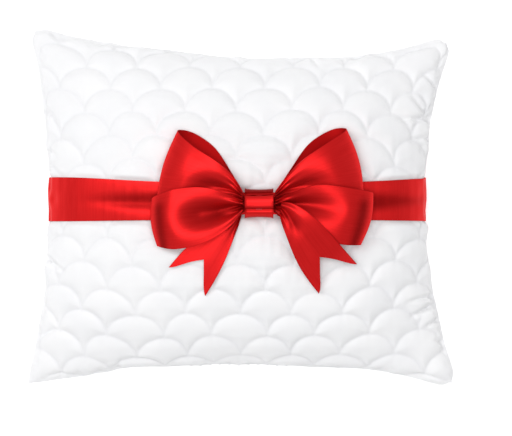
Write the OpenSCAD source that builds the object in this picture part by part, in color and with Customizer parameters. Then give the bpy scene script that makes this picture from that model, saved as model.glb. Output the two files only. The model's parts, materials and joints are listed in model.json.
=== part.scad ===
// Quilted ring bearer pillow with a ribbon band and a bow.
// It lies on its back: +X across its width, +Y up its face, +Z out of its face.
// The origin is under the middle of the pillow, on the surface it rests on.

/* [Pillow] */
// Width from corner to corner
pillow_w = 240; // [225:1:260]
// Height from corner to corner
pillow_h = 200; // [190:1:215]
// How far the left and right sides pull in at their middles
side_pull = 12.5; // [9:0.5:15]
// How far the top and bottom sides pull in at their middles
end_pull = 12; // [9:0.5:15]
// Height of the seam above the resting surface
seam_z = 31; // [29:0.5:34]
// Height of the front panel's crown above the seam
crown_h = 41; // [38:0.5:44]
// Height that the back panel would have if nothing flattened it
back_h = 46; // [42:0.5:52]

/* [Cloth layers] */
// Thickness of the cover cloth
cover_t = 0.4; // [0.3:0.05:0.5]
// Thickness of the wadding under the cover
wadding_t = 2.8; // [2:0.1:3.2]
// Thickness of the backing cloth of the quilting
lining_t = 0.3; // [0.2:0.05:0.4]
// How far the wadding and lining stop short of the seam
seam_trim = 2.2; // [2:0.1:3]

/* [Band] */
// Width of the ribbon band
band_w = 25; // [20:0.5:30]
// Height of the band's middle above the middle of the pillow
band_y = 5.5; // [3:0.5:8]
// How deep the tied band presses into the pillow
band_press = 1.2; // [1:0.1:1.6]
// Thickness of the satin ribbon
ribbon_t = 0.5; // [0.4:0.05:0.6]

/* [Bow] */
// Middle of the knot, to the right of the pillow's middle
knot_x = 11.4; // [8:0.1:14]
// Middle of the knot, above the pillow's middle
knot_y = 3.1; // [1:0.1:6]
// Width of the wrapped ribbon of the knot
knot_w = 16; // [14:0.5:16]
// Length of the knot's face, across its folds
knot_len = 16.4; // [15:0.1:18]
// Height of the knot above the band
knot_h = 14; // [13:0.5:15]
// Thickness of the wrapped ribbon, which goes round twice
wrap_t = 1; // [0.8:0.1:1.1]

/* [Thread] */
// Radius of the sewing thread, drawn as a bonded cord of stitches
thread_r = 0.5; // [0.45:0.01:0.55]
// Stitches that close the turning gap
closing_stitches = 11; // [9:1:12]

/* [Hidden] */

// The crown falls away from the middle as (1 - t^n)^m
crown_n = 2.4;
crown_m = 0.65;
// Half of the gap that the seam leaves between the front and back panels
seam_gap = 0.3;
// Air between layers that lie against each other
layer_air = 0.1;
// Rise of the cloth at the edge of the pressed band strip, measured along Y
step_w = 1;
// Half width of the turning gap, as a share of the half width of the pillow
turning_gap = 0.25;
// Sides of a swept thread
thread_sides = 6;

pillow_white = [0.96, 0.96, 0.97];
wadding_white = [0.9, 0.9, 0.88];
satin_red = [0.83, 0.09, 0.1];
thread_white = [0.93, 0.93, 0.93];
thread_red = [0.6, 0.04, 0.05];

band_lo = band_y - band_w / 2;
band_hi = band_y + band_w / 2;
// The pressed strip is a straight channel, with the section of its middle row
band_v = band_y / (pillow_h / 2 - end_pull);

wadding_depth = cover_t + layer_air;
lining_depth = wadding_depth + wadding_t + layer_air;
fill_depth = lining_depth + lining_t + layer_air;

// ---------------------------------------------------------------- the pillow's surface

// Columns and rows of the surface, closer together near the edges
columns = [for (i = [-7:7]) sin(90 * i / 7)];
low_rows = [-1, -0.97, -0.88, -0.74, -0.56, -0.33];
high_rows = [0.42, 0.6, 0.76, 0.89, 0.97, 1];
// A row in the band is [y, depth of the pressed channel]
band_rows = [[band_lo - step_w, 0], [band_lo, band_press], [band_hi, band_press],
    [band_hi + step_w, 0]];

function crown(t) = pow(max(0, 1 - pow(abs(t), crown_n)), crown_m);
function half_w(v, inset) = pillow_w / 2 - inset - side_pull * (1 - v * v);
function half_h(u, inset) = pillow_h / 2 - inset - end_pull * (1 - u * u);

// inset shrinks the outline and depth lowers the crown, so that the layers nest
function front_z(u, v, depth) = seam_z + seam_gap + (crown_h - depth) * crown(u) * crown(v);
function back_z(u, v, depth) = seam_z - seam_gap
    - min(seam_z - seam_gap - depth, (back_h - depth) * crown(u) * crown(v));
function panel_z(u, v, depth, front) = front ? front_z(u, v, depth) : back_z(u, v, depth);

function free_row(v, inset, depth, front) = [for (u = columns)
    [u * half_w(v, inset), v * half_h(u, inset), panel_z(u, v, depth, front)]];
function band_row(y, press, inset, depth, front) =
    let (v = press > 0 ? band_v : y / half_h(0, 0))
    [for (u = columns)
        [u * half_w(v, inset + press), y, panel_z(u, v, depth + press, front)]];
function panel(inset, depth, front) = concat(
    [for (v = low_rows) free_row(v, inset, depth, front)],
    [for (r = band_rows) band_row(r[0], r[1], inset, depth, front)],
    [for (v = high_rows) free_row(v, inset, depth, front)]);

// Height of the front panel over the point (x, y)
function face_z(x, y) = let (
    u0 = x / half_w(0, 0), v0 = y / half_h(u0, 0),
    u1 = x / half_w(v0, 0), v1 = y / half_h(u1, 0),
    u = max(-1, min(1, x / half_w(v1, 0))), v = max(-1, min(1, v1)))
    front_z(u, v, 0);

// ---------------------------------------------------------------- shared shapes

function flat_list(rows) = [for (r = rows) for (p = r) p];

// Closed skin between two grids of points of the same size: outer on top, inner beneath
module skin(outer, inner) {
    rows = len(outer);
    cols = len(outer[0]);
    n = rows * cols;
    function at(r, c) = r * cols + c;
    rim = concat([for (c = [0:cols - 1]) at(0, c)], [for (r = [1:rows - 1]) at(r, cols - 1)],
        [for (c = [cols - 2:-1:0]) at(rows - 1, c)], [for (r = [rows - 2:-1:1]) at(r, 0)]);
    cells = [for (r = [0:rows - 2]) for (c = [0:cols - 2])
        [at(r, c), at(r, c + 1), at(r + 1, c + 1), at(r + 1, c)]];
    polyhedron(concat(flat_list(outer), flat_list(inner)), concat(
        [for (q = cells) each [[q[0], q[2], q[1]], [q[0], q[3], q[2]]]],
        [for (q = cells) each [[n + q[0], n + q[1], n + q[2]], [n + q[0], n + q[2], n + q[3]]]],
        [for (i = [0:len(rim) - 1]) let (a = rim[i], b = rim[(i + 1) % len(rim)])
            each [[a, b, n + b], [a, n + b, n + a]]]), convexity = 6);
}

function unit(v) = v / norm(v);
function clamped(g, r, c) = g[max(0, min(len(g) - 1, r))][max(0, min(len(g[0]) - 1, c))];
function normal_at(g, r, c) = unit(cross(clamped(g, r, c + 1) - clamped(g, r, c - 1),
    clamped(g, r + 1, c) - clamped(g, r - 1, c)));
function shifted(g, d) = [for (r = [0:len(g) - 1]) [for (c = [0:len(g[0]) - 1])
    g[r][c] + d * normal_at(g, r, c)]];

// A ribbon of even thickness whose middle surface is the grid g
module ribbon(g) {
    skin(shifted(g, ribbon_t / 2), shifted(g, -ribbon_t / 2));
}

// Smooth curve through a list of points, for t from 0 to 1
function curve(p, t) = let (n = len(p) - 1, k = min(floor(t * n), n - 1), f = t * n - k,
    a = p[max(k - 1, 0)], b = p[k], c = p[k + 1], d = p[min(k + 2, n)])
    0.5 * (2 * b + (c - a) * f + (2 * a - 5 * b + 4 * c - d) * f * f
        + (3 * b - a - 3 * c + d) * f * f * f);

// A thread swept along a path that runs round the pillow
module thread(path, r) {
    n = len(path);
    function ahead(i) = path[min(i + 1, n - 1)] - path[max(i - 1, 0)];
    rings = [for (i = [0:n - 1]) let (d = unit(ahead(i)), side = unit(cross(d, [0, 0, 1])))
        [for (k = [0:thread_sides - 1]) let (a = 360 * k / thread_sides)
            path[i] + r * (cos(a) * side + [0, 0, sin(a)])]];
    s = thread_sides;
    polyhedron(flat_list(rings), concat(
        [[for (k = [s - 1:-1:0]) k]],
        [[for (k = [0:s - 1]) (n - 1) * s + k]],
        [for (i = [0:n - 2]) for (k = [0:s - 1]) let (j = (k + 1) % s)
            each [[i * s + k, (i + 1) * s + j, (i + 1) * s + k],
                [i * s + k, i * s + j, (i + 1) * s + j]]]), convexity = 6);
}

// ---------------------------------------------------------------- cover, wadding, filling

module layer(inset, depth, thickness, front) {
    near = panel(inset, depth, front);
    far = panel(inset + thickness, depth + thickness, front);
    if (front) skin(near, far); else skin(far, near);
}

module front_cover() {
    color(pillow_white) layer(0, 0, cover_t, true);
}

module back_cover() {
    color(pillow_white) layer(0, 0, cover_t, false);
}

module front_wadding() {
    color(wadding_white) layer(seam_trim, wadding_depth, wadding_t, true);
}

module back_wadding() {
    color(wadding_white) layer(seam_trim, wadding_depth, wadding_t, false);
}

module front_lining() {
    color(pillow_white) layer(seam_trim + wadding_t + layer_air, lining_depth, lining_t, true);
}

module back_lining() {
    color(pillow_white) layer(seam_trim + wadding_t + layer_air, lining_depth, lining_t, false);
}

module fibre_fill() {
    inset = seam_trim + fill_depth;
    color(wadding_white) skin(panel(inset, fill_depth, true), panel(inset, fill_depth, false));
}

// ---------------------------------------------------------------- seams

// Row r of the pillow's outline, set in from the rim by the thread's own radius
function rim_row(r) = panel(thread_r, 0, true)[r];
seam_rows = len(low_rows) + len(band_rows) + len(high_rows);
function lowered(p) = [p[0], p[1], seam_z];

module edge_seam() {
    bottom = rim_row(0);
    top = rim_row(seam_rows - 1);
    path = concat(
        [for (i = [0:len(columns) - 1]) if (columns[i] > turning_gap - 0.05) lowered(bottom[i])],
        [for (r = [1:seam_rows - 1]) lowered(rim_row(r)[len(columns) - 1])],
        [for (i = [len(columns) - 2:-1:0]) lowered(top[i])],
        [for (r = [seam_rows - 2:-1:0]) lowered(rim_row(r)[0])],
        [for (i = [1:len(columns) - 1]) if (columns[i] < 0.05 - turning_gap) lowered(bottom[i])]);
    color(thread_white) thread(path, thread_r);
}

module closing_seam() {
    stitch_r = 0.35;
    stitch_half = 1.7;
    stitch_inset = 0.9;
    span = 2 * (turning_gap - 0.07) * half_w(1, 0);
    color(thread_white) for (i = [0:closing_stitches - 1]) {
        x = span * (i / (closing_stitches - 1) - 0.5);
        y = -half_h(x / half_w(1, 0), stitch_inset);
        translate([x, y, seam_z - stitch_half]) cylinder(r = stitch_r, h = 2 * stitch_half, $fn = 16);
    }
}

// ---------------------------------------------------------------- band

// Section of the pressed channel in the X-Z plane, once round, grown outwards by d
channel_front = [for (u = columns) [u * half_w(band_v, band_press), front_z(u, band_v, band_press)]];
channel_back = [for (i = [len(columns) - 1:-1:0]) let (u = columns[i])
    [u * half_w(band_v, band_press), back_z(u, band_v, band_press)]];
channel = concat(channel_front, channel_back);
function turned(v) = [-v[1], v[0]];
function grown(i, d) = let (n = len(channel), a = channel[(i + n - 1) % n], b = channel[i],
    c = channel[(i + 1) % n], m = unit(turned(unit(b - a)) + turned(unit(c - b))))
    b + m * d / max(0.5, m * turned(unit(b - a)));
function ring(d) = [for (i = [0:len(channel) - 1]) grown(i, d)];

module band() {
    color(satin_red) translate([0, band_hi - 0.05, 0]) rotate([90, 0, 0])
        linear_extrude(height = band_w - 0.1) difference() {
            polygon(ring(layer_air + ribbon_t));
            polygon(ring(layer_air));
        }
}

// ---------------------------------------------------------------- knot

// The knot stands on the band's highest point under it
band_top = front_z(0, band_v, band_press) + layer_air + ribbon_t;
knot_z = band_top + layer_air + knot_h / 2;

// Rounded outline of the knot in the Y-Z plane
function knot_outline(half_y, half_z) = [for (a = [0:10:350])
    [half_y * sign(cos(a)) * pow(abs(cos(a)), 0.6), half_z * sign(sin(a)) * pow(abs(sin(a)), 0.75)]];

// Carries an outline in Y-Z along X, centred on the knot
module along_x(length) {
    translate([knot_x - length / 2, knot_y, knot_z]) rotate([90, 0, 90])
        linear_extrude(height = length) children();
}

core_half_y = knot_len / 2 - wrap_t - layer_air;
core_half_z = knot_h / 2 - wrap_t - layer_air;
gather_w = 4;
gather_depth = 1.2;

// Outline of the gathered ribbon, with soft folds round it
function gathered(shrink) = [for (a = [0:6:354])
    let (fold = 1 - 0.05 * (1 - cos(12 * a)), c = cos(a), s = sin(a))
    [(core_half_y - shrink) * fold * sign(c) * pow(abs(c), 0.7),
        (core_half_z - shrink) * fold * sign(s) * pow(abs(s), 0.8)]];

module knot_wrap() {
    color(satin_red) along_x(knot_w) difference() {
        polygon(knot_outline(knot_len / 2, knot_h / 2));
        polygon(knot_outline(knot_len / 2 - wrap_t, knot_h / 2 - wrap_t));
    }
}

module bow_core() {
    core_w = knot_w - 0.8;
    color(satin_red) union() {
        along_x(core_w) polygon(gathered(gather_depth));
        for (side = [-1, 1]) translate([side * (core_w + gather_w) / 4, 0, 0])
            along_x((core_w - gather_w) / 2) polygon(gathered(0));
    }
}

module gather_thread() {
    turns = 3;
    color(thread_red) for (i = [0:turns - 1]) translate([(i - (turns - 1) / 2) * 1.2, 0, 0])
        along_x(0.8) difference() {
            polygon(knot_outline(core_half_y - 0.35, core_half_z - 0.35));
            polygon(knot_outline(core_half_y - gather_depth + 0.25, core_half_z - gather_depth + 0.25));
        }
}

// Threads that pass from the bow's core through the wrap and the band into the front panel
module tack_stitches() {
    tack_r = 0.4;
    tack_x = 4.5;
    tack_y = 3;
    low = band_top - 3.4;
    high = knot_z - knot_h / 2 + wrap_t + 2;
    color(thread_red) for (sx = [-1, 1]) for (sy = [-1, 1])
        translate([knot_x + sx * tack_x, knot_y + sy * tack_y, low])
            cylinder(r = tack_r, h = high - low, $fn = 24);
}

// ---------------------------------------------------------------- loops and tails

// Every rail point is [x, y, height above the pillow's face], measured from the middle of the
// knot. A loop's rails start at the front of the neck, turn at the fold and come back behind.
function placed(p) = [knot_x + p[0], knot_y + p[1], face_z(knot_x + p[0], knot_y + p[1]) + p[2]];

loop_steps = 20;
loop_cells = 5;

// swell lifts the middle of the front sheet
function loop_grid(top, bottom, swell) = [for (i = [0:loop_steps]) let (s = i / loop_steps)
    [for (j = [0:loop_cells]) let (w = j / loop_cells,
        lift = swell * sin(180 * w) * pow(max(0, sin(360 * s)), 1.5))
        placed(curve(bottom, s) * w + curve(top, s) * (1 - w) + [0, 0, lift])]];

left_upper_top = [[-9.2, 6, 10.4], [-15, 15, 12.5], [-24, 23, 15], [-36, 31, 13], [-45.5, 40.6, 7],
    [-37, 39, 2.8], [-25, 31, 2.2], [-16, 17, 3.6], [-9.2, 5.5, 7.8]];
left_upper_bottom = [[-9.2, 2.8, 10.2], [-18, 4.4, 7.6], [-30, 4.6, 6], [-44, 3.6, 5.6], [-57, 3, 4],
    [-46, 4.6, 2.4], [-32, 5.4, 2.4], [-20, 5, 4], [-9.2, 2.6, 7.8]];

left_lower_top = [[-9.2, 1.4, 10.8], [-19.1, 5.7, 12.8], [-30, 8.6, 13.6], [-45, 8.2, 12.6],
    [-59.9, 2.4, 8.6], [-47, 0.4, 4.6], [-33, -0.6, 4.6], [-19, -1.2, 5.6], [-9.2, -1.6, 7.8]];
left_lower_bottom = [[-9.2, -5, 10.4], [-16.5, -13.2, 10.8], [-28, -20.5, 11.6], [-42, -25.3, 10.6],
    [-56, -24, 7], [-42, -23.6, 4.6], [-28, -19, 4.6], [-17, -12, 5.6], [-9.2, -5.5, 7.8]];

right_upper_top = [[9.2, 6, 10.4], [16.6, 16.1, 12.5], [25, 24.5, 15], [37, 33, 13], [49, 41.6, 7],
    [40, 40.5, 2.8], [27, 32.5, 2.2], [17, 17.5, 3.6], [9.2, 5.5, 7.8]];
right_upper_bottom = [[9.2, 2.8, 10.2], [18, 4.8, 7.6], [30, 5.8, 6], [46, 6.4, 5.6], [58.5, 7, 4],
    [47, 7.4, 2.4], [32, 6.6, 2.4], [20, 5.4, 4], [9.2, 2.6, 7.8]];

right_lower_top = [[9.2, 1.4, 10.8], [20, 6.5, 12.4], [31, 10.3, 13], [48, 8.8, 12.4], [64, 5.8, 8.6],
    [50, 2.6, 4.6], [34, 0.6, 4.6], [20, -0.8, 5.6], [9.2, -1.6, 7.8]];
right_lower_bottom = [[9.2, -5, 9.6], [16, -10, 9.8], [27, -16.5, 10.4], [41, -22, 10.2],
    [56, -23.5, 7], [42, -21.6, 4.6], [28, -16.4, 4.6], [17, -11, 5.4], [9.2, -5.5, 7.8]];

module left_upper_loop() {
    color(satin_red) ribbon(loop_grid(left_upper_top, left_upper_bottom, 2.5));
}

module left_lower_loop() {
    color(satin_red) ribbon(loop_grid(left_lower_top, left_lower_bottom, 2.5));
}

module right_upper_loop() {
    color(satin_red) ribbon(loop_grid(right_upper_bottom, right_upper_top, 2.5));
}

module right_lower_loop() {
    color(satin_red) ribbon(loop_grid(right_lower_bottom, right_lower_top, 1.2));
}

tail_steps = 14;
tail_cells = 6;
// How far the notch is cut back, as a share of the tail's length
notch = 0.25;

function tail_grid(inner, outer) = [for (i = [0:tail_steps]) [for (j = [0:tail_cells])
    let (w = j / tail_cells, t = i / tail_steps * (1 - notch * (1 - abs(2 * w - 1))))
    placed(curve(inner, t) * (1 - w) + curve(outer, t) * w)]];

left_tail_inner = [[-9.6, -5.5, 5], [-11.5, -12, 3.2], [-14, -19, 2.2], [-17, -27, 1.9],
    [-20.5, -35, 1.9], [-25, -43.5, 1.9], [-30.2, -52, 1.9]];
left_tail_outer = [[-9.8, -1.5, 5], [-14, -5, 3.2], [-21, -9.5, 2.2], [-28, -14.5, 1.9],
    [-35.5, -20.5, 1.9], [-43, -27, 1.9], [-50.7, -35.9, 1.9]];

right_tail_inner = [[11.6, -6.2, 12], [13, -12, 12.6], [15.5, -19, 12], [19, -28, 7],
    [23, -36, 3.6], [28, -43.5, 2.3], [33.6, -50.7, 1.9]];
right_tail_outer = [[12.6, 0.8, 12.8], [18.6, 0, 15.2], [25, -3.5, 17.2], [32, -9, 17.4],
    [39, -16, 16], [46.5, -24.5, 12.6], [55.1, -34.1, 3]];

module left_tail() {
    color(satin_red) ribbon(tail_grid(left_tail_inner, left_tail_outer));
}

module right_tail() {
    color(satin_red) ribbon(tail_grid(right_tail_outer, right_tail_inner));
}

front_cover();
front_wadding();
front_lining();
back_cover();
back_wadding();
back_lining();
fibre_fill();
edge_seam();
closing_seam();
band();
knot_wrap();
bow_core();
gather_thread();
tack_stitches();
left_upper_loop();
left_lower_loop();
right_upper_loop();
right_lower_loop();
left_tail();
right_tail();
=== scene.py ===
"""Looks of the quilted ring bearer pillow with its ribbon band and bow.

Lengths are in millimetres until a mesh is made, in the frame's axes: +X across the pillow,
+Y up its face, +Z out of its face. Sizes and places come from the CAD frame.
"""

import json
import math

import bpy
import numpy as np
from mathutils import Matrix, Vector
from mathutils.bvhtree import BVHTree


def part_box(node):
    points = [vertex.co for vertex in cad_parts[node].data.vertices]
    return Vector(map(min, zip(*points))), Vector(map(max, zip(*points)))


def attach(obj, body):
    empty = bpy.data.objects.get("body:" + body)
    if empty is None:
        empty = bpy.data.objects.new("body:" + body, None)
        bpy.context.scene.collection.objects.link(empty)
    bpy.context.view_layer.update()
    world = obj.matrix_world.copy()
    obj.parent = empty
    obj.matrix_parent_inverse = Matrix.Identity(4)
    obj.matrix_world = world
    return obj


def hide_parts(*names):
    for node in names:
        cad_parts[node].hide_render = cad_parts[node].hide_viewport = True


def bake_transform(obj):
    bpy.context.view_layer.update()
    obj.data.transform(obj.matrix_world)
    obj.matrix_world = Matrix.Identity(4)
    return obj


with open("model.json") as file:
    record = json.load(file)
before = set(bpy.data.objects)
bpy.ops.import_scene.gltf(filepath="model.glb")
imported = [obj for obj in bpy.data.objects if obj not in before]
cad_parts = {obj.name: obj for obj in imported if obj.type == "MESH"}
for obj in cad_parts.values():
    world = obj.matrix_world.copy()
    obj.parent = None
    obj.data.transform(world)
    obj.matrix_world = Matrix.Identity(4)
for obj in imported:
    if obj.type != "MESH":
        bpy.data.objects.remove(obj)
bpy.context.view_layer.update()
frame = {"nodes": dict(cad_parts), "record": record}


def corners(node):
    """Lowest and highest corner of a CAD node, in millimetres."""
    low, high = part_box(node)
    return np.array(low) * 1000, np.array(high) * 1000


cover_low, cover_high = corners("front_cover")
back_high = corners("back_cover")[1]
band_low, band_high = corners("band")
knot_low, knot_high = corners("knot_wrap")
KNOT = (knot_low + knot_high) / 2
HALF_W, HALF_H = cover_high[0], cover_high[1]
SEAM_Z = (cover_low[2] + back_high[2]) / 2
SEAM_GAP = (cover_low[2] - back_high[2]) / 2
FRONT_RISE = cover_high[2] - SEAM_Z - SEAM_GAP
BACK_RISE = 46.0
COVER_T, WADDING_T, LINING_T, RIBBON_T = 0.4, 2.8, 0.3, 0.45
LOOP_WIDTH, TAIL_WIDTH = 36.0, 24.0

# Cut size of each cover panel between its seams
CUT_W, CUT_H = 244.0, 204.0


# ------------------------------------------------------------------ small tools


def smooth(t):
    """0 up to t = 0, 1 from t = 1, with a smooth step between."""
    t = np.clip(t, 0, 1)
    return t * t * (3 - 2 * t)


def ripple(x, y, wavelength, seed):
    """Soft irregular waves over the plane, from about -1 to 1."""
    random = np.random.default_rng(seed)
    total = 0
    for _ in range(7):
        turn, phase = random.uniform(0, 2 * math.pi, 2)
        k = 2 * math.pi / (wavelength * random.uniform(0.7, 1.5))
        total = total + np.sin(k * (x * math.cos(turn) + y * math.sin(turn)) + phase)
    return total / 3.2


def resampler(old, new):
    """Weights that carry old evenly spaced samples over to new ones along a smooth curve."""
    t = np.linspace(0, old - 1, new)
    k = np.minimum(t.astype(int), old - 2)
    f = t - k
    weights = np.zeros((new, old))
    parts = ((-f + 2 * f**2 - f**3) / 2, (2 - 5 * f**2 + 3 * f**3) / 2,
             (f + 4 * f**2 - 3 * f**3) / 2, (-(f**2) + f**3) / 2)
    for shift, part in zip((-1, 0, 1, 2), parts):
        np.add.at(weights, (np.arange(new), np.clip(k + shift, 0, old - 1)), part)
    return weights


def spline(points, t):
    """Smooth curve through points; t runs from 0 to 1 and may be an array."""
    p = np.array(points, float)
    last = len(p) - 1
    k = np.minimum((np.asarray(t) * last).astype(int), last - 1)
    f = (np.asarray(t) * last - k)[..., None]
    a, b = p[np.maximum(k - 1, 0)], p[k]
    c, d = p[k + 1], p[np.minimum(k + 2, last)]
    return 0.5 * (2 * b + (c - a) * f + (2 * a - 5 * b + 4 * c - d) * f**2
                  + (3 * b - a - 3 * c + d) * f**3)


def unit(v):
    return v / np.maximum(np.linalg.norm(v, axis=-1, keepdims=True), 1e-9)


def normals(grid):
    """Normals of a grid of points, along columns x rows."""
    return unit(np.cross(np.gradient(grid, axis=1), np.gradient(grid, axis=0)))


def lengths(grid, axis):
    """Running length along an axis of a grid, averaged across the other one."""
    step = np.linalg.norm(np.diff(grid, axis=axis), axis=-1).mean(axis=1 - axis)
    return np.concatenate([[0], np.cumsum(step)])


# ------------------------------------------------------------------ meshes


def cells(rows, cols, around):
    """Cells of a grid as (row, column) corner pairs; around joins the last column to the first."""
    r, c = np.meshgrid(np.arange(rows - 1), np.arange(cols if around else cols - 1), indexing="ij")
    r, c = r.ravel(), c.ravel()
    return np.stack([r, r, r + 1, r + 1], 1), np.stack([c, c + 1, c + 1, c], 1)


def new_object(name, points, faces, uv, marks=None, sharp=50):
    """A smooth-shaded object from points in millimetres; uv has one pair for each face corner."""
    a, b, c = (points[np.array([f[i] for f in faces])] for i in (0, 1, 2))
    d = points[np.array([f[-1] for f in faces])]
    volume = (a * np.cross(b, c)).sum() + (a * np.cross(c, d)).sum()
    if volume < 0:
        faces = [f[::-1] for f in faces]
        uv = [u[::-1] for u in uv]
    mesh = bpy.data.meshes.new(name)
    mesh.from_pydata((points / 1000).tolist(), [], [list(map(int, f)) for f in faces])
    layer = mesh.uv_layers.new(name="cloth")
    layer.data.foreach_set("uv", np.concatenate([np.ravel(u) for u in uv]).astype(np.float32))
    for label, values in (marks or {}).items():
        mesh.attributes.new(label, "FLOAT", "POINT").data.foreach_set(
            "value", np.asarray(values, np.float32).ravel())
    mesh.update()
    mesh.polygons.foreach_set("use_smooth", [True] * len(mesh.polygons))
    mesh.set_sharp_from_angle(angle=math.radians(sharp))
    obj = bpy.data.objects.new(name, mesh)
    bpy.context.scene.collection.objects.link(obj)
    return obj


def skin(name, outer, inner, u, v, around=False, marks=None):
    """A closed cloth between two grids of points. u and v are cloth lengths along columns, rows."""
    rows, cols = outer.shape[:2]
    n = rows * cols
    cr, cc = cells(rows, cols, around)
    index = cr * cols + cc % cols
    uv = np.stack([u[np.minimum(cc, len(u) - 1)], v[cr]], -1)
    faces, maps = list(index), list(uv)
    faces += list(n + index[:, ::-1])
    maps += list(uv[:, ::-1])
    rims = []
    steps = range(cols if around else cols - 1)
    rims += [((0, i + 1), (0, i)) for i in steps]
    rims += [((rows - 1, i), (rows - 1, i + 1)) for i in steps]
    if not around:
        rims += [((i, 0), (i + 1, 0)) for i in range(rows - 1)]
        rims += [((i + 1, cols - 1), (i, cols - 1)) for i in range(rows - 1)]
    for (r0, c0), (r1, c1) in rims:
        p, q = r0 * cols + c0 % cols, r1 * cols + c1 % cols
        faces.append(np.array([p, q, n + q, n + p]))
        a, b = (u[min(c0, len(u) - 1)], v[r0]), (u[min(c1, len(u) - 1)], v[r1])
        maps.append(np.array([a, b, b, a]))
    points = np.concatenate([outer.reshape(-1, 3), inner.reshape(-1, 3)])
    marks = {k: np.concatenate([m.ravel(), m.ravel()]) for k, m in (marks or {}).items()}
    return new_object(name, points, faces, maps, marks)


def tubes(name, starts, ends, radius, rise, sides=8):
    """Stitches: plump threads between pairs of points, each arched by rise along +normal."""
    along = np.linspace(-1, 1, 7)
    thick = radius * np.sqrt(np.maximum(0, 1 - 0.97 * along**4))
    points, faces, uv = [], [], []
    for a, b, up in zip(starts, ends, rise):
        d = unit(b - a)
        side = unit(np.cross(d, up))
        top = np.cross(side, d)
        first = len(points) * sides
        for t, w in zip(along, thick):
            middle = (a + b) / 2 + (b - a) / 2 * t + up * (1 - t * t)
            ring = [middle + w * (math.cos(k) * side + math.sin(k) * top)
                    for k in np.arange(sides) * 2 * math.pi / sides]
            points.append(ring)
        for i in range(len(along) - 1):
            for k in range(sides):
                m = (k + 1) % sides
                faces.append([first + i * sides + k, first + i * sides + m,
                              first + (i + 1) * sides + m, first + (i + 1) * sides + k])
                uv.append([[k / sides, i], [(k + 1) / sides, i],
                           [(k + 1) / sides, i + 1], [k / sides, i + 1]])
        faces.append([first + k for k in range(sides)][::-1])
        faces.append([first + (len(along) - 1) * sides + k for k in range(sides)])
        uv += [[[0, 0]] * sides] * 2
    return new_object(name, np.array(points).reshape(-1, 3), faces, uv, sharp=70)


# ------------------------------------------------------------------ the stuffed pillow

SIM_COLS, SIM_ROWS = 84, 70
# The cloth solver suits cloth about a metre wide, so the panels are simulated ten times as large
ENLARGED = 10.0


def inflate():
    """Two flat panels, sewn together along their edges and blown up by the filling.
    Returns the front panel and the back panel as grids of points, in millimetres."""
    index, points, faces = {}, [], []

    def key(i, j, side):
        return i, j, 0 if i in (0, SIM_COLS) or j in (0, SIM_ROWS) else side

    for side in (1, -1):
        for j in range(SIM_ROWS + 1):
            for i in range(SIM_COLS + 1):
                if key(i, j, side) not in index:
                    u, v = 2 * i / SIM_COLS - 1, 2 * j / SIM_ROWS - 1
                    index[key(i, j, side)] = len(points)
                    points.append(((u * CUT_W / 2) * ENLARGED / 1000,
                                   (v * CUT_H / 2) * ENLARGED / 1000,
                                   side * 0.02 * (1 - u * u) * (1 - v * v)))
        for j in range(SIM_ROWS):
            for i in range(SIM_COLS):
                ring = [index[key(a, b, side)] for a, b in
                        ((i, j), (i + 1, j), (i + 1, j + 1), (i, j + 1))]
                faces.append(ring[::side])
    mesh = bpy.data.meshes.new("inflating")
    mesh.from_pydata(points, [], faces)
    cover = bpy.data.objects.new("inflating", mesh)
    bpy.context.scene.collection.objects.link(cover)
    cloth = cover.modifiers.new("Cloth", "CLOTH")
    s = cloth.settings
    s.quality, s.mass, s.air_damping = 6, 0.5, 3
    s.tension_stiffness = s.compression_stiffness = 40
    s.shear_stiffness, s.bending_stiffness = 20, 1
    s.tension_damping = s.compression_damping = s.shear_damping = 10
    s.bending_damping = 2
    s.use_pressure, s.uniform_pressure_force = True, 2
    s.effector_weights.gravity = 0
    cloth.collision_settings.use_collision = False
    cloth.point_cache.frame_start, cloth.point_cache.frame_end = 1, 16
    for step in range(1, 17):
        bpy.context.scene.frame_set(step)
    shaped = cover.evaluated_get(bpy.context.evaluated_depsgraph_get())
    co = np.array([p.co for p in shaped.data.vertices]) * 1000 / ENLARGED
    bpy.context.scene.frame_set(1)
    bpy.data.objects.remove(cover)
    bpy.data.meshes.remove(mesh)
    return [np.array([[co[index[key(i, j, side)]] for i in range(SIM_COLS + 1)]
                      for j in range(SIM_ROWS + 1)]) for side in (1, -1)]


def share_of_outline(x, y):
    """Where a point lies between the middle of the pillow and its outline, as (u, v)."""
    u, v = x / HALF_W, y / HALF_H
    for _ in range(6):
        u, v = x / (HALF_W - 12.5 * (1 - v * v)), y / (HALF_H - 12 * (1 - u * u))
    return u, v


# How far the real corners and side middles stray from the even shape, [x, y] in millimetres:
# rows from the bottom edge to the top, columns from left to right
STRAYS = np.array([[[0.0, 0.3], [0.0, 1.2], [2.0, 0.0]],
                   [[1.2, 0.0], [0.0, 0.0], [-3.2, 0.0]],
                   [[3.4, 2.5], [0.0, -3.8], [-0.5, -3.7]]])


def strayed(grid):
    """The panel with its corners and side middles moved by STRAYS."""
    rows, cols = grid.shape[:2]
    u, v = np.meshgrid(np.linspace(-1, 1, cols), np.linspace(-1, 1, rows))
    across = (u * (u - 1) / 2, 1 - u * u, u * (u + 1) / 2)
    up = (v * (v - 1) / 2, 1 - v * v, v * (v + 1) / 2)
    out = grid.copy()
    for i in range(3):
        for j in range(3):
            out[..., :2] += (up[i] * across[j])[..., None] * STRAYS[i, j]
    return out


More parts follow.
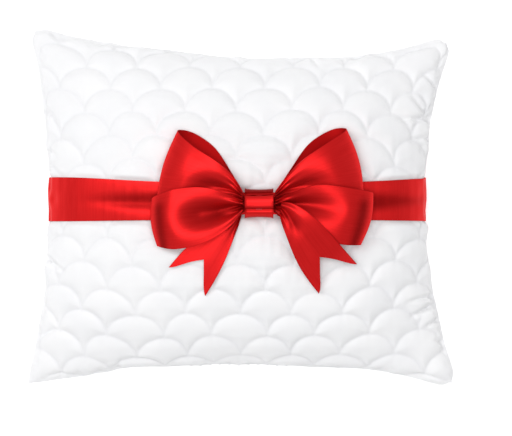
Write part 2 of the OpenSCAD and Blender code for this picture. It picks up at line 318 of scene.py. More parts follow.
def stuffed(panel, side):
    """One simulated panel, filled out to the thickness of the CAD pillow and laid down."""
    x, y, z = panel[..., 0], panel[..., 1], np.abs(panel[..., 2])
    u, v = share_of_outline(x, y)
    fall = 1
    for share in (u, v):
        fall = fall * (1 - 0.66 * np.abs(np.clip(share, -1, 1)) ** 2.5)
    rise = FRONT_RISE if side > 0 else BACK_RISE
    z = z / z.max() * rise * fall
    if side < 0:
        rest = SEAM_Z - SEAM_GAP
        soft = 2.5
        z = rest - soft * np.logaddexp(0, (rest - z) / soft)
        z += soft * math.log1p(math.exp(-rest / soft))
        z = np.clip(z, 0, rest)
    return strayed(np.stack([x, y, SEAM_Z + side * (SEAM_GAP + z)], -1))


# Points of the cover's mesh across and up
FRONT_COLS, FRONT_ROWS = 301, 251

# How far each corner is blunted: place and millimetres
CORNERS = (((-1, 1), 6.0), ((1, 1), 7.0), ((1, -1), 6.0), ((-1, -1), 1.5))
# Where the filling pushes the outline out: place, millimetres in x and y, and reach
BULGES = (((-62, 90), (0.0, 2.7), 46), ((-115, 98), (-3.7, 3.2), 13), ((-108, 62), (-1.0, 0.0), 30),
          ((116, 94), (4.2, 4.0), 17), ((117, -95), (3.6, -3.3), 17), ((108, -58), (1.2, 0.0), 20),
          ((-118, -97), (-1.2, -0.8), 12), ((-90, -92), (0.0, -1.4), 20))


def blunted(grid):
    """The panel with its corners turned round a little, as a sewn and turned corner is."""
    out = grid.copy()
    for (u, v), amount in CORNERS:
        tip = grid[-1 if v > 0 else 0, -1 if u > 0 else 0, :2]
        near = np.exp(-((np.linalg.norm(grid[..., :2] - tip, axis=-1) / 7) ** 2))
        out[..., :2] -= amount * near[..., None] * np.array([u, v]) * 0.7
    return out


def bulged(grid):
    """The panel with its outline pushed out at the BULGES."""
    out = grid.copy()
    for (x, y), push, reach in BULGES:
        near = np.exp(-(((grid[..., 0] - x) ** 2 + (grid[..., 1] - y) ** 2) / reach**2))
        out[..., :2] += near[..., None] * push
    return out


def dense(grid, rows=FRONT_ROWS, cols=FRONT_COLS):
    """A grid resampled along smooth curves, to the mesh of the cover unless told otherwise."""
    up, across = resampler(grid.shape[0], rows), resampler(grid.shape[1], cols)
    return np.einsum("ri,ijk,cj->rck", up, grid, across)


# Folds that the seam pulls into the cloth beside it: from, to, half width, depth
SEAM_FOLDS = (
    ((108, 51), (88, 51), 2.2, 1.5), ((108, 51), (96, 67), 2.4, 1.3),
    ((107, 40), (94, 39), 2.0, 1.1), ((111, 70), (104, 78), 2.0, 0.9),
    ((107, -50), (93, -53), 2.0, 1.3), ((108, -56), (96, -62), 2.2, 1.4),
    ((113, -63), (105, -67), 2.0, 1.2), ((116, -76), (109, -74), 1.8, 0.9),
    ((-108, -28), (-98, -37), 2.0, 1.1), ((-109, 33), (-101, 29), 2.0, 0.8),
    ((-112, -72), (-104, -68), 1.8, 0.8), ((40, 88), (47, 78), 2.0, 0.9),
    ((72, 89), (60, 80), 2.2, 0.9), ((-70, -93), (-66, -84), 1.6, 0.7),
    ((-92, -97), (-90, -88), 2.2, 0.45), ((-104, -98), (-98, -89), 2.4, 0.35),
)


def seam_folds(x, y):
    """Height of the SEAM_FOLDS at (x, y), below 0 in a fold."""
    total = np.zeros(x.shape)
    for (x0, y0), (x1, y1), width, depth in SEAM_FOLDS:
        dx, dy = x1 - x0, y1 - y0
        long = dx * dx + dy * dy
        t = ((x - x0) * dx + (y - y0) * dy) / long
        off = ((x - x0) * dy - (y - y0) * dx) / math.sqrt(long) / width
        ends = smooth((t + 0.35) / 0.3) * (1 - smooth((t - 0.35) / 0.75))
        total -= 1.6 * depth * ends * (1 - 0.9 * off**2) * np.exp(-(off**2))
    return total


SCALE_PITCH, SCALE_ROW, SCALE_R = 30.0, 14.75, 15.2
# The top of one scale, in cloth coordinates
SCALE_X, SCALE_Y = 14.8, -46.0
# How far the quilted pattern is pulled off its even rows, [x, y] in millimetres: rows from the
# bottom edge to the top, columns from left to right
SCALE_PULL = np.array([
    [[5.1, 12.0], [2.7, 5.5], [1.5, 8.1], [-2.8, 7.1], [0.6, 11.7]],
    [[1.4, 6.4], [0.6, -0.6], [0.5, -0.8], [-0.4, -0.5], [-3.6, 6.9]],
    [[6.0, -1.5], [-1.1, -0.2], [-0.5, 0.6], [4.0, -1.4], [2.0, -4.0]],
    [[4.5, -3.7], [-0.7, -2.6], [-1.2, 0.0], [0.9, 0.2], [-8.3, -5.0]],
    [[-0.2, -10.4], [3.5, -12.6], [2.4, -4.9], [2.0, -3.3], [-1.7, -6.4]]])


def quilting(x, y):
    """Distance from the nearest quilting line at cloth point (x, y): rows of overlapping arches."""
    x = x + 0.9 * ripple(x, y, 46, 3)
    y = y + 0.9 * ripple(x, y, 52, 4)
    base = np.floor((y - SCALE_Y + SCALE_R) / SCALE_ROW)
    nearest = np.full(x.shape, 99.0)
    for row in (base - 1, base, base + 1):
        cy = SCALE_Y - SCALE_R + row * SCALE_ROW
        shift = np.where(np.mod(row, 2) == 0, 0, SCALE_PITCH / 2)
        col = np.round((x - SCALE_X - shift) / SCALE_PITCH)
        for step in (-1, 0, 1):
            dx = x - SCALE_X - shift - (col + step) * SCALE_PITCH
            dy = y - cy
            arch = np.abs(np.hypot(dx, dy) - SCALE_R)
            foot = np.hypot(np.abs(dx) - SCALE_R, dy)
            nearest = np.minimum(nearest, np.where(dy >= 0, arch, foot))
    return nearest


BAND_MIDDLE = (band_low[1] + band_high[1]) / 2
BAND_HALF = (band_high[1] - band_low[1]) / 2
# How deep the tied band presses into the pillow
BAND_PRESS = 1.0


def band_edges(x, front):
    """Middle and half width of the band at x, and how far the bow's tie draws it together there,
    which it does on the front only."""
    away = np.abs(x - KNOT[0])
    tie = front * (1 - smooth((away - 45) / 70))
    tight = front * (1 - smooth((away - 9) / 30))
    middle = BAND_MIDDLE + (KNOT[1] - BAND_MIDDLE) * np.maximum(0.45 * tie, tight)
    return middle, BAND_HALF * (1 - 0.14 * tie) * (1 - 0.42 * tight), tie


def in_band(x, y, front, soft=3.5):
    """1 under the band, falling to 0 within soft millimetres outside it."""
    middle, half, _ = band_edges(x, front)
    return smooth((half + soft - np.abs(y - middle)) / soft)


def pressed(grid, side):
    """The panel with the tied band's channel pressed into it."""
    depth = BAND_PRESS * in_band(grid[..., 0], grid[..., 1], float(side > 0))
    out = grid.copy()
    out[..., 0] *= 1 - depth / HALF_W
    rise = SEAM_Z - SEAM_GAP if side < 0 else FRONT_RISE
    rim = SEAM_Z + side * SEAM_GAP
    out[..., 2] = rim + (out[..., 2] - rim) * (1 - depth / rise)
    return out


def moved_in(grid, side, inset, depth):
    """A layer's surface: the outline shrunk by inset and the crown lowered by depth."""
    rise = SEAM_Z - SEAM_GAP if side < 0 else FRONT_RISE
    rim = SEAM_Z + side * SEAM_GAP
    out = grid * [1 - inset / HALF_W, 1 - inset / HALF_H, 1]
    out[..., 2] = rim + (grid[..., 2] - rim) * (1 - depth / rise)
    return out


panels = inflate()
cloth_x = np.linspace(-CUT_W / 2, CUT_W / 2, FRONT_COLS)
cloth_y = np.linspace(-CUT_H / 2, CUT_H / 2, FRONT_ROWS)
CX, CY = np.meshgrid(cloth_x, cloth_y)
pull = dense(SCALE_PULL)
off_line = quilting(CX - pull[..., 0], CY - pull[..., 1])
to_rim = np.minimum(CUT_W / 2 - np.abs(CX), CUT_H / 2 - np.abs(CY))

faces_of = {}
for name, panel, side in (("front", panels[0], 1), ("back", panels[1], -1)):
    free = bulged(blunted(dense(stuffed(panel, side))))
    base = pressed(free, side)
    puff = 1 - (1 - np.clip(off_line / 9.0, 0, 1)) ** 2.4
    size = 1 + 0.22 * ripple(CX, CY, 40, 5 + side)
    relief = (2.0 * size * puff - 0.65) * (0.35 + 0.65 * smooth(to_rim / 12)) * smooth(to_rim / 4)
    relief *= 1 - 0.85 * in_band(base[..., 0], base[..., 1], float(side > 0))
    gather = np.exp(-to_rim / 9) * smooth(to_rim / 5) * ripple(CX, CY, 17, 21 + side)
    relief += 0.8 * gather * (0.4 + 0.6 * smooth(np.hypot(CX, CY * 1.15) / 60 - 1))
    if side > 0:
        relief += seam_folds(base[..., 0], base[..., 1]) * smooth(to_rim / 3)
    relief = np.maximum(relief, -np.minimum(0.3 + 0.22 * to_rim, 2.4))
    out = normals(base) * side
    outer = base + out * relief[..., None]
    if side < 0:
        outer[..., 2] = np.maximum(outer[..., 2], 0)
    # The layers below give way under a deep fold and close beside it
    sunk = np.minimum.reduce([np.roll(relief, (i, j), (0, 1))
                              for i in range(-3, 4) for j in range(-3, 4)])
    soft = base + out * np.minimum(sunk + 0.6, 0)[..., None]
    # line marks the quilting grooves, where the cloth's colour gets painted shade
    faces_of[name] = dict(side=side, free=free, base=base, soft=soft, relief=relief, outer=outer,
                          line=np.exp(-(off_line / 0.8) ** 2) * smooth(to_rim / 6))

pieces = {}
thin = (slice(None, None, 2), slice(None, None, 2))
for name, f in faces_of.items():
    side = f["side"]
    cover_in = moved_in(f["outer"], side, COVER_T, COVER_T)
    pieces[name + "_cover"] = skin(
        name + "_cover_cloth", f["outer"], cover_in, CX[0], CY[:, 0], marks={"line": f["line"]})
    soft, lift = f["soft"][thin], f["relief"][thin]
    top = moved_in(soft, side, 2.2, 1.0)
    top[..., 2] += side * 0.8 * np.minimum(lift, 1.4) * smooth(to_rim[thin] / 30)
    if side < 0:
        top[..., 2] = np.maximum(top[..., 2], 0.9)
    under = moved_in(soft, side, 2.2 + WADDING_T, 1.2 + WADDING_T)
    pieces[name + "_wadding"] = skin(
        name + "_wadding_fleece", top, under, cloth_x[::2], cloth_y[::2])
    depth = 1.4 + WADDING_T
    pieces[name + "_lining"] = skin(
        name + "_lining_cloth", moved_in(soft, side, depth + 1.2, depth),
        moved_in(soft, side, depth + 1.2 + LINING_T, depth + LINING_T),
        cloth_x[::2], cloth_y[::2])
FILL_DEPTH = 1.7 + WADDING_T + LINING_T
fill = [moved_in(faces_of[n]["soft"][thin], s, FILL_DEPTH + 1.3, FILL_DEPTH)
        for n, s in (("front", 1), ("back", -1))]
pieces["fibre_fill"] = skin("fibre_fill_mass", fill[0], fill[1], cloth_x[::2], cloth_y[::2])


def height_finder(grid):
    """Function that gives the height of a front panel over (x, y)."""
    rows, cols = grid.shape[:2]
    r, c = cells(rows, cols, False)
    tree = BVHTree.FromPolygons(grid.reshape(-1, 3).tolist(), (r * cols + c).tolist())

    def height(x, y):
        flat = [tree.ray_cast(Vector((a, b, 500)), Vector((0, 0, -1)))[0] for a, b in
                zip(np.ravel(x), np.ravel(y))]
        return np.array([SEAM_Z if hit is None else hit.z for hit in flat]).reshape(np.shape(x))
    return height


# The bow keeps clear of the face's small bumps, so its heights come from a smoothed face
coarse = faces_of["front"]["free"][::25, ::20]
face_height = height_finder(dense(coarse, 126, 151))


# ------------------------------------------------------------------ seams


def rim_path(step):
    """Points every step millimetres along the pillow's outline, just inside the cloth's edge."""
    base = faces_of["front"]["base"]
    ring = np.concatenate([base[0, :-1], base[:-1, -1], base[-1, :0:-1], base[:0:-1, 0]])
    ring = ring * [1 - 0.35 / HALF_W, 1 - 0.35 / HALF_H, 1]
    ring[:, 2] = SEAM_Z
    ring = np.concatenate([ring, ring[:1]])
    run = np.concatenate([[0], np.cumsum(np.linalg.norm(np.diff(ring, axis=0), axis=1))])
    at = np.arange(0, run[-1] - step / 2, step)
    return np.stack([np.interp(at, run, ring[:, k]) for k in range(3)], -1)


rim = rim_path(2.8)
gap_half = 0.25 * HALF_W
stitch = [k for k in range(len(rim) - 1)
          if not (abs(rim[k, 0]) < gap_half and rim[k, 1] < -0.8 * HALF_H)]
flat_rise = [np.array([0.0, 0.0, 0.12])] * len(stitch)
starts = np.array([rim[k] + 0.08 * (rim[k + 1] - rim[k]) for k in stitch])
ends = np.array([rim[k] + 0.92 * (rim[k + 1] - rim[k]) for k in stitch])
pieces["edge_seam"] = tubes("edge_seam_stitches", starts, ends, 0.27, flat_rise)

low_edge = faces_of["front"]["base"][0]
starts, ends, rises = [], [], []
for x in np.linspace(-0.9, 0.9, 11) * gap_half:
    y = np.interp(x, low_edge[:, 0], low_edge[:, 1])
    starts.append(np.array([x - 0.7, y + 0.7, SEAM_Z - 1.5]))
    ends.append(np.array([x + 0.7, y + 0.7, SEAM_Z + 1.5]))
    rises.append(np.array([0.0, -0.95, 0.0]))
pieces["closing_seam"] = tubes("closing_seam_stitches", starts, ends, 0.28, rises)


# ------------------------------------------------------------------ band


def band_section(y, points):
    """Once round the pressed pillow at height y, as points in X-Z, from the left end's front."""
    lines = []
    for name in ("front", "back"):
        base = faces_of[name]["base"]
        lines.append(np.array([[np.interp(y, base[:, i, 1], base[:, i, k]) for k in (0, 2)]
                               for i in range(0, FRONT_COLS, 2)]))
    ring = np.concatenate([lines[0], lines[1][::-1]])
    ring = np.concatenate([ring, ring[:1]])
    run = np.concatenate([[0], np.cumsum(np.linalg.norm(np.diff(ring, axis=0), axis=1))])
    at = np.linspace(0, run[-1], points, endpoint=False)
    return np.stack([np.interp(at, run, ring[:, k]) for k in range(2)], -1)


def make_band(clear=0.35, rows=25, points=440):
    """The band as a ring of ribbon. Beside the bow the tie narrows it and folds it lengthways."""
    under, over, shade = [], [], []
    share = np.linspace(-1, 1, rows)
    flat = band_section(BAND_MIDDLE, points)
    front = smooth((flat[:, 1] - SEAM_Z) / 8)
    middle, half, tie = band_edges(flat[:, 0], front)
    sections = [band_section(BAND_MIDDLE + BAND_HALF * k, points) for k in (-1, -0.5, 0, 0.5, 1)]
    for w in share:
        y = middle + half * w
        at = np.clip((y - BAND_MIDDLE) / BAND_HALF * 2 + 2, 0, 3.999)
        low = at.astype(int)
        section = np.array([sections[k][i] * (1 - f) + sections[k + 1][i] * f for i, (k, f) in
                            enumerate(zip(low, at - low))])
        d = unit(np.roll(section, -2, 0) - np.roll(section, 2, 0))
        outward = np.stack([-d[:, 1], d[:, 0]], -1)
        trough = np.exp(-(((w + 0.05) / (0.16 + 0.3 * tie)) ** 2)) * smooth(tie / 0.8)
        crease = 1.6 * smooth(tie / 0.7) * (1 - 0.35 * w**4) - 1.5 * trough
        bow = 0.3 * (1 - w * w) * (1 - tie)
        swell = clear + crease + bow + 0.06 * ripple(section[:, 0], y, 60, 31)
        for grid, lift in ((under, swell), (over, swell + RIBBON_T)):
            p = section + outward * lift[:, None]
            grid.append(np.stack([p[:, 0], y, np.maximum(p[:, 1], 0.02)], -1))
        # painted shade: the band is drawn darker along the trough of the tie's crease
        shade.append(0.75 * trough)
    under, over = np.array(under), np.array(over)
    run = lengths(np.concatenate([over, over[:, :1]], 1), 1)
    across = np.linspace(0, 2 * BAND_HALF, rows)
    edge = np.minimum(across, across[::-1])[:, None] + np.zeros(points)
    return skin("band_ribbon", over, under, run, across, around=True,
                marks={"shade": np.array(shade), "edge": edge})


pieces["band"] = make_band()


# ------------------------------------------------------------------ bow


def on_pillow(local):
    """From bow coordinates, with heights above the pillow's face, to the frame."""
    out = np.array(local, float)
    out[..., 0] += KNOT[0]
    out[..., 1] += KNOT[1]
    out[..., 2] += face_height(out[..., 0], out[..., 1])
    return out


def ribbon(name, middle, width, shade):
    """A ribbon of even thickness from the grid of its middle surface: rows along, columns across.
    Its satin face is up where the ribbon starts; the other side is the ribbon's dull reverse."""
    n = normals(middle)
    n *= RIBBON_T / 2 * np.sign(n[middle.shape[0] // 4, middle.shape[1] // 2, 2])
    across = np.linspace(0, width, middle.shape[1])
    edge = np.minimum(across, across[::-1])[None, :] + np.zeros(middle.shape[:2])
    obj = skin(name, middle + n, middle - n, across, lengths(middle, 0),
               marks={"shade": np.clip(shade, 0, 1), "edge": edge})
    # The reverse is drawn darker red: partly the ribbon's duller reverse, partly painted shade inside
    # the loops
    reverse = np.repeat([0.0, 1.0], middle.shape[0] * middle.shape[1]).astype(np.float32)
    obj.data.attributes.new("reverse", "FLOAT", "POINT").data.foreach_set("value", reverse)
    return obj


def valley(s, w, start, stop, spread, widen, end, start_depth=0.3):
    """A fold that leaves the neck at w = start, deepens, and dies out at s = end, w = stop.
    Its depth is 1 at its deepest."""
    k = np.clip(s / end, 0, 1)
    middle = start + (stop - start) * k
    shape = np.exp(-(((w - middle) / (spread + (widen - spread) * k)) ** 2))
    along = start_depth + (1 - start_depth) * smooth(k / 0.4)
    return along * (1 - smooth((k - 0.58) / 0.42)) * shape


def loop(name, top, bottom, swell, folds, bulge, dark_turn=0.0):
    """A loop from its two rails. Each fold is a valley's shape and its depth. swell lifts the
    front, bulge rounds the turn and dark_turn is how strongly a shaded band lies before it."""
    s = np.linspace(0, 1, 141)[:, None]
    w = np.linspace(0, 1, 49)[None, :]
    across = w[..., None]
    local = spline(top, s[:, 0])[:, None] * (1 - across) + spline(bottom, s[:, 0])[:, None] * across
    crest = np.sin(np.pi * np.clip(2 * s, 0, 1) ** 2.0) ** 1.5
    local[..., 2] += swell * np.sin(np.pi * w) * crest
    # shade is painted shade: darker in the fold valleys, at the neck and in a band before each turn
    shade = np.zeros(local.shape[:2])
    for shape, depth in folds:
        cut = valley(s, w, *shape)
        local[..., 2] -= depth * cut
        shade += 0.16 * depth * cut * (1.25 - np.clip(s / shape[4], 0, 1))
    from_neck = np.minimum(s, 1 - s)
    gather = 1.25 * np.exp(-((from_neck / 0.085) ** 1.3)) + 0.2 * np.exp(-((from_neck / 0.2) ** 2))
    local[..., 2] += gather * np.cos(2 * np.pi * 3.5 * w + 0.8)
    shade += 0.55 * np.exp(-((s / 0.07) ** 2))
    turn = np.exp(-(((s - 0.5) / 0.09) ** 2))
    local[..., 0] += bulge * turn * np.sin(np.pi * w) * np.sign(local[..., 0])
    shade += 0.75 * np.exp(-(((s - 0.432) / 0.024) ** 2)) * smooth(w / 0.3) * dark_turn
    return ribbon(name, on_pillow(local), LOOP_WIDTH, shade)


pieces["left_upper_loop"] = loop(
    "left_upper_loop_ribbon",
    [[-9.2, 6.6, 10.4], [-15.2, 16, 12.8], [-24, 23.4, 15.6], [-37, 32, 14.8], [-45.5, 40.6, 9.0],
     [-37, 39.6, 2.8], [-25, 31.4, 2.2], [-16, 18, 3.4], [-9.2, 5.5, 7.8]],
    [[-9.2, 2.8, 10.2], [-18, 4.4, 8], [-30, 4.6, 7.5], [-46, 3.6, 10], [-57, 3, 6.4],
     [-46, 4.6, 2.4], [-32, 5.4, 2.4], [-20, 5, 4], [-9.2, 2.6, 7.8]],
    2.5, [((0.74, 0.66, 0.2, 0.2, 0.38), 3.0)], 2.2)

pieces["left_lower_loop"] = loop(
    "left_lower_loop_ribbon",
    [[-9.2, 1.4, 10.8], [-19.6, 5.9, 12.8], [-33, 8.9, 13.8], [-49.5, 7.3, 13.6], [-59.9, 2.4, 7.4],
     [-47, 0.4, 4.6], [-33, -0.6, 4.6], [-19, -1.2, 5.6], [-9.2, -1.6, 7.8]],
    [[-9.2, -5, 10.4], [-17.6, -14, 11], [-31, -22.1, 12.4], [-47, -25.6, 12], [-57, -23.6, 6.4],
     [-42, -23.6, 4.6], [-28, -19, 4.6], [-17, -12, 5.6], [-9.2, -5.5, 7.8]],
    3.2, [((0.5, 0.47, 0.24, 0.26, 0.43), 6.4)], 2.0, 1.0)

pieces["right_upper_loop"] = loop(
    "right_upper_loop_ribbon",
    [[9.2, 6.6, 10.4], [16.6, 16.4, 12.8], [25, 24.8, 15.6], [38.5, 34, 14.8], [49, 41.4, 9.0],
     [41, 41.4, 2.8], [28, 33.4, 2.2], [17.4, 18.5, 3.4], [9.2, 5.5, 7.8]],
    [[9.2, 2.8, 10.2], [18, 4.8, 8], [30, 5.8, 7.5], [47.5, 6.4, 10], [58.5, 7, 6.4],
     [47, 7.4, 2.4], [32, 6.6, 2.4], [20, 5.4, 4], [9.2, 2.6, 7.8]],
    2.5, [((0.74, 0.7, 0.2, 0.18, 0.36), 3.0)], 2.2)

pieces["right_lower_loop"] = loop(
    "right_lower_loop_ribbon",
    [[9.2, 1.4, 10.8], [20.4, 6.7, 12.4], [34, 10.4, 13.2], [52.5, 8.4, 13.2], [64, 5.6, 7.6],
     [50, 2.6, 4.6], [34, 0.6, 4.6], [20, -0.8, 5.6], [9.2, -1.6, 7.8]],
    [[9.2, -5, 9.6], [16.6, -10.4, 9.8], [30, -17.8, 10.8], [46, -22.9, 11.2], [57, -23.2, 6.6],
     [42, -21.6, 4.6], [28, -16.4, 4.6], [17, -11, 5.4], [9.2, -5.5, 7.8]],
    2.0, [((0.4, 0.42, 0.22, 0.24, 0.42), 4.8)], 2.4, 1.0)


def tail(name, inner, outer, folds, covered, notch=0.25):
    """A hanging end from its two rails, cut to a notch. The loops shade about the share `covered`
    of its length."""
    t = np.linspace(0, 1, 61)[:, None]
    w = np.linspace(0, 1, 33)[None, :]
    s = t * (1 - notch * (1 - np.abs(2 * w - 1)))
    a, b = spline(inner, s), spline(outer, s)
    local = a * (1 - w[..., None]) + b * w[..., None]
    # painted shadow of the loops near the root, and painted shade in the folds
    shade = 0.5 * np.exp(-((s / covered) ** 2)) + 0 * w
    for shape, depth in folds:
        cut = valley(s, w, *shape)
        local[..., 2] -= depth * cut
        shade = shade + 0.3 * max(depth, 0) * cut
    gather = np.exp(-((s / 0.3) ** 2)) * np.cos(2 * np.pi * 2.5 * w + 0.5)
    local[..., 2] += 1.1 * gather * smooth(1.2 - s / 0.5)
    return ribbon(name, on_pillow(local), TAIL_WIDTH, shade)


pieces["left_tail"] = tail(
    "left_tail_ribbon",
    [[-9.6, -5.5, 5], [-11.5, -12, 3.2], [-14, -19, 2.2], [-17, -27, 1.9],
     [-20.5, -35, 1.9], [-25, -43.5, 1.9], [-30.2, -52, 1.9]],
    [[-9.8, -1.5, 5], [-14, -5, 3.2], [-21, -9.5, 2.2], [-28, -14.5, 1.9],
     [-35.5, -20.5, 1.9], [-43, -27, 1.9], [-50.7, -35.9, 1.9]],
    [((0.5, 0.5, 0.3, 0.3, 1.6), -0.9)], 0.42)

pieces["right_tail"] = tail(
    "right_tail_ribbon",
    [[11.6, -6.2, 12], [13, -12, 12.8], [15.5, -19, 12.8], [19, -28, 9.5],
     [23, -36, 6], [28, -43.5, 3.5], [33.6, -50.7, 2.2]],
    [[12.6, 0.8, 12.8], [18.6, 0, 15.2], [25, -3.5, 17.2], [32, -9, 17.4],
     [39, -16, 16], [46.5, -24.5, 12.6], [55.1, -34.1, 3]], [((0.42, 0.42, 0.2, 0.2, 0.5), 2.4)], 0.12)


def knot():
    """Ribbon wrapped twice round the gathered middle, with its lengthways folds."""
    half = (knot_high - knot_low) / 2
    a = np.linspace(0, 2 * math.pi, 4001)
    y = half[1] * np.sign(np.cos(a)) * np.abs(np.cos(a)) ** 0.8
    z = half[2] * np.sign(np.sin(a)) * np.abs(np.sin(a)) ** 0.9
    run = np.concatenate([[0], np.cumsum(np.hypot(np.diff(y), np.diff(z)))])
    at = np.linspace(0, run[-1], 180, endpoint=False)
    y, z = np.interp(at, run, y), np.interp(at, run, z)
    tangent = unit(np.stack([np.roll(y, -1) - np.roll(y, 1), np.roll(z, -1) - np.roll(z, 1)], -1))
    out = np.stack([tangent[:, 1], -tangent[:, 0]], -1)
    along = np.linspace(-1, 1, 61)
    grids, shade = [], []
    for inward in (0.0, 0.8):
        rows = []
        for k in along:
            grooves = (np.exp(-(((y - 5.0 - 0.25 * k) / 0.8) ** 2))
                       + 1.2 * np.exp(-(((y + 3.6 - 0.3 * k * k) / 1.2) ** 2)))
            fold = 0.5 * np.exp(-(((y - 1.4) / 1.9) ** 2)) - grooves
            waist = -0.45 * (1 - k * k) + 0.2 * smooth((abs(k) - 0.85) / 0.15)
            size = (0.75 * fold * smooth((z + 1) / 3) + waist) * (1 - 0.5 * inward) - inward
            rows.append(np.stack([np.full(len(y), KNOT[0] + half[0] * k),
                                  KNOT[1] + y + out[:, 0] * size,
                                  KNOT[2] + z + out[:, 1] * size], -1))
            if not inward:
                # painted shade: darker in the grooves, along the top and bottom strips and at the ends
                shade.append(0.6 * grooves + 0.85 * smooth((y - 4.6) / 1.2)
                             + 0.35 * smooth((-y - 6.6) / 1.2) + 0.3 * smooth((abs(k) - 0.9) / 0.1))
        grids.append(np.array(rows))
    across = np.linspace(0, 2 * half[0], len(along))
    edge = np.minimum(across, across[::-1])[:, None] + np.zeros(len(y))
    return skin("knot_wrap_ribbon", grids[0], grids[1], np.append(at, run[-1]), across, around=True,
                marks={"shade": np.clip(shade, 0, 1), "edge": edge})


pieces["knot_wrap"] = knot()


# ------------------------------------------------------------------ materials


class Finish:
    """A material being built from nodes."""

    def __init__(self, name):
        self.material = bpy.data.materials.new(name)
        self.material.use_nodes = True
        self.tree = self.material.node_tree
        self.shader = self.tree.nodes["Principled BSDF"]

    def node(self, kind, **inputs):
        made = self.tree.nodes.new("ShaderNode" + kind)
        for label, value in inputs.items():
            label = label.replace("_", " ")
            if isinstance(value, bpy.types.NodeSocket):
                self.tree.links.new(value, made.inputs[label])
            else:
                made.inputs[label].default_value = value
        return made

    def math(self, operation, a, b=0.0):
        made = self.tree.nodes.new("ShaderNodeMath")
        made.operation = operation
        for socket, value in zip(made.inputs, (a, b)):
            if isinstance(value, bpy.types.NodeSocket):
                self.tree.links.new(value, socket)
            else:
                socket.default_value = value
        return made.outputs[0]

    def cloth(self, scale=(1, 1, 1)):
        """Cloth coordinates in millimetres, scaled."""
        uv = self.node("UVMap")
        uv.uv_map = "cloth"
        return self.node("Mapping", Vector=uv.outputs["UV"], Scale=scale).outputs["Vector"]

    def place(self, scale=(1000, 1000, 1000)):
        """Object coordinates in millimetres, scaled."""
        at = self.node("TexCoord").outputs["Object"]
        return self.node("Mapping", Vector=at, Scale=scale).outputs["Vector"]

    def mark(self, name):
        made = self.node("Attribute")
        made.attribute_name = name
        return made.outputs["Fac"]

    def noise(self, at, scale, detail=2.0):
        return self.node("TexNoise", Vector=at, Scale=scale, Detail=detail).outputs["Fac"]

    def waves(self, at, scale, axis="X", distortion=0.0):
        made = self.node("TexWave", Vector=at, Scale=scale, Distortion=distortion)
        made.bands_direction = axis
        return made.outputs["Fac"]

    def ramp(self, fac, *stops):
        made = self.node("ValToRGB", Fac=fac)
        band = made.color_ramp
        while len(band.elements) < len(stops):
            band.elements.new(0.5)
        for element, (place, colour) in zip(band.elements, stops):
            element.position = place
            element.color = (*colour, 1)
        return made.outputs["Color"]

    def mix(self, fac, a, b):
        made = self.tree.nodes.new("ShaderNodeMix")
        made.data_type = "RGBA"
        for socket, value in ((made.inputs[0], fac), (made.inputs[6], a), (made.inputs[7], b)):
            if isinstance(value, bpy.types.NodeSocket):
                self.tree.links.new(value, socket)
            else:
                socket.default_value = value if isinstance(value, float) else (*value, 1)
        return made.outputs[2]

    def bump(self, height, distance, strength=1.0):
        made = self.node("Bump", Height=height, Distance=distance, Strength=strength)
        self.tree.links.new(made.outputs["Normal"], self.shader.inputs["Normal"])

    def set(self, **inputs):
        for label, value in inputs.items():
            socket = self.shader.inputs[label.replace("_", " ")]
            if isinstance(value, bpy.types.NodeSocket):
                self.tree.links.new(value, socket)
            else:
                socket.default_value = (*value, 1) if isinstance(value, tuple) else value
        return self


def quilt_cloth():
    f = Finish("quilt_cloth")
    at = f.cloth()
    cloud = f.noise(at, 0.05)
    tint = f.ramp(cloud, (0.3, (0.885, 0.888, 0.905)), (0.7, (0.915, 0.915, 0.925)))
    line = f.mark("line")
    # painted shade: the cloth is drawn greyer along the quilting grooves
    colour = f.mix(f.math("MULTIPLY", line, 0.35), tint, (0.78, 0.78, 0.81))
    weave = f.math("ADD", f.waves(at, 0.9, "X"), f.waves(at, 0.9, "Y"))
    nap = f.math("ADD", f.math("MULTIPLY", weave, 0.25), f.noise(at, 1.6, 4.0))
    f.bump(nap, 0.00012, 0.5)
    f.set(Base_Color=colour, Sheen_Weight=0.25, Sheen_Roughness=0.5, Specular_IOR_Level=0.3,
          Roughness=f.math("ADD", f.math("MULTIPLY", cloud, 0.15), 0.68))
    return f.material


def red_satin():
    f = Finish("red_satin")
    at = f.cloth()
    streak = f.noise(f.cloth((1.2, 0.05, 1)), 1.0, 3.0)
    colour = f.ramp(streak, (0.25, (0.70, 0.012, 0.013)), (0.75, (0.78, 0.018, 0.019)))
    # painted shade: the shade mark draws the satin deep red in folds, creases, at the neck and under
    # the loops
    colour = f.mix(f.mark("shade"), colour, (0.18, 0.0004, 0.0006))
    # darker reverse: partly the ribbon's duller back face, partly painted shade inside the loops
    colour = f.mix(f.math("MULTIPLY", f.mark("reverse"), 0.75), colour, (0.34, 0.001, 0.0015))
    edge = f.ramp(f.mark("edge"), (0.0, (1, 1, 1)), (0.5, (0.0, 0.0, 0.0)))
    colour = f.mix(f.math("MULTIPLY", edge, 0.5), colour, (0.33, 0.003, 0.004))
    warp = f.waves(at, 1.4, "X", 0.4)
    weft = f.waves(at, 2.3, "Y", 0.2)
    weave = f.math("ADD", f.math("MULTIPLY", warp, 0.6), f.math("MULTIPLY", weft, 0.25))
    f.bump(weave, 0.00003, 0.35)
    tangent = f.node("Tangent")
    tangent.direction_type = "UV_MAP"
    tangent.uv_map = "cloth"
    dull = f.math("MULTIPLY", f.mark("reverse"), 0.25)
    rough = f.math("ADD", f.math("MULTIPLY", streak, 0.1), 0.34)
    f.set(Base_Color=colour, Metallic=0.5, Anisotropic=0.4, Tangent=tangent.outputs["Tangent"],
          Specular_IOR_Level=0.2, Specular_Tint=(1.0, 0.3, 0.3),
          Roughness=f.math("ADD", rough, dull))
    return f.material


def thread(name, light, dark, scale):
    f = Finish(name)
    at = f.place()
    twist = f.waves(at, scale, "DIAGONAL", 0.6)
    f.set(Base_Color=f.mix(twist, dark, light), Sheen_Weight=0.2,
          Roughness=f.math("ADD", f.math("MULTIPLY", twist, -0.1), 0.6))
    f.bump(twist, 0.00008, 0.7)
    return f.material


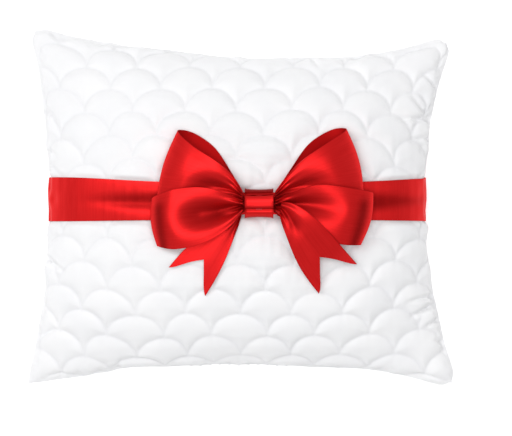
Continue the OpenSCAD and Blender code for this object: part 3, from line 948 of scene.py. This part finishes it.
def fleece(name, light, dark, size, rough):
    f = Finish(name)
    at = f.place()
    fibres = f.noise(f.place((1000, 1000, 2600)), size, 6.0)
    clumps = f.node("TexVoronoi", Vector=at, Scale=size * 0.35).outputs["Distance"]
    f.set(Base_Color=f.mix(fibres, dark, light), Sheen_Weight=0.4,
          Roughness=f.math("ADD", f.math("MULTIPLY", clumps, 0.1), rough))
    f.bump(f.math("ADD", fibres, f.math("MULTIPLY", clumps, 0.4)), 0.0006, 0.8)
    return f.material


finishes = {
    "quilt_cloth": quilt_cloth(),
    "red_satin": red_satin(),
    "white_thread": thread("white_thread", (0.93, 0.93, 0.94), (0.74, 0.74, 0.76), 1.1),
    "red_thread": thread("red_thread", (0.62, 0.01, 0.015), (0.3, 0.004, 0.006), 1.1),
    "wadding": fleece("wadding", (0.92, 0.92, 0.9), (0.78, 0.78, 0.76), 0.8, 0.85),
    "lining_cloth": fleece("lining_cloth", (0.93, 0.93, 0.93), (0.84, 0.84, 0.85), 1.6, 0.8),
    "fibre_fill": fleece("fibre_fill", (0.94, 0.94, 0.92), (0.75, 0.75, 0.73), 0.4, 0.88),
}
slot_of = {part["node"]: part["material_slot"] for part in frame["record"]["subparts"]}


def dress(obj, slot):
    obj.data.materials.clear()
    obj.data.materials.append(finishes[slot])


for node in ("bow_core", "gather_thread", "tack_stitches"):
    dress(frame["nodes"][node], slot_of[node])

side_of = {"left": ("left_loops", -1), "right": ("right_loops", 1)}
for node, obj in pieces.items():
    dress(obj, slot_of[node])
    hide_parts(node)
    if node.endswith("_loop"):
        body, side = side_of[node.split("_")[0]]
        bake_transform(obj)
    elif node == "left_tail":
        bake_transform(obj)
    elif node == "right_tail":
        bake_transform(obj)
    else:
        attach(obj, "pillow")


# ------------------------------------------------------------------ studio


def studio():
    size = 3.0
    mesh = bpy.data.meshes.new("table")
    mesh.from_pydata([(-size, -size, -0.0005), (size, -size, -0.0005), (size, size, -0.0005),
                      (-size, size, -0.0005)], [], [(0, 1, 2, 3)])
    table = bpy.data.objects.new("table", mesh)
    bpy.context.scene.collection.objects.link(table)
    f = Finish("white_table")
    f.set(Base_Color=f.mix(f.noise(f.place(), 0.02), (0.97, 0.97, 0.97), (0.99, 0.99, 0.99)),
          Roughness=0.9, Emission_Color=(1.0, 1.0, 1.0), Emission_Strength=0.36)
    mesh.materials.append(f.material)

    world = bpy.data.worlds.new("studio")
    world.use_nodes = True
    world.node_tree.nodes["Background"].inputs["Color"].default_value = (1.0, 1.0, 1.0, 1)
    world.node_tree.nodes["Background"].inputs["Strength"].default_value = 0.32
    bpy.context.scene.world = world

    for name, at, wide, power in (("key", (-1.7, 1.0, 2.8), 1.2, 28.0),
                                  ("fill", (0.0, 0.0, 3.6), 2.4, 79.0)):
        lamp = bpy.data.lights.new(name, "AREA")
        lamp.size, lamp.energy = wide, power
        light = bpy.data.objects.new(name, lamp)
        light.location = at
        light.rotation_euler = (Vector((0, 0, 0.03)) - Vector(at)).to_track_quat("-Z", "Y").to_euler()
        bpy.context.scene.collection.objects.link(light)

    lens, view_width = 400.0, 0.2908
    camera = bpy.data.objects.new("camera", bpy.data.cameras.new("camera"))
    camera.data.lens = lens
    camera.location = (0.0097, -0.0051, SEAM_Z / 1000 + lens / camera.data.sensor_width * view_width)
    camera.data.clip_end = 20
    bpy.context.scene.collection.objects.link(camera)
    bpy.context.scene.camera = camera
    bpy.context.scene.view_settings.view_transform = "Standard"


studio()
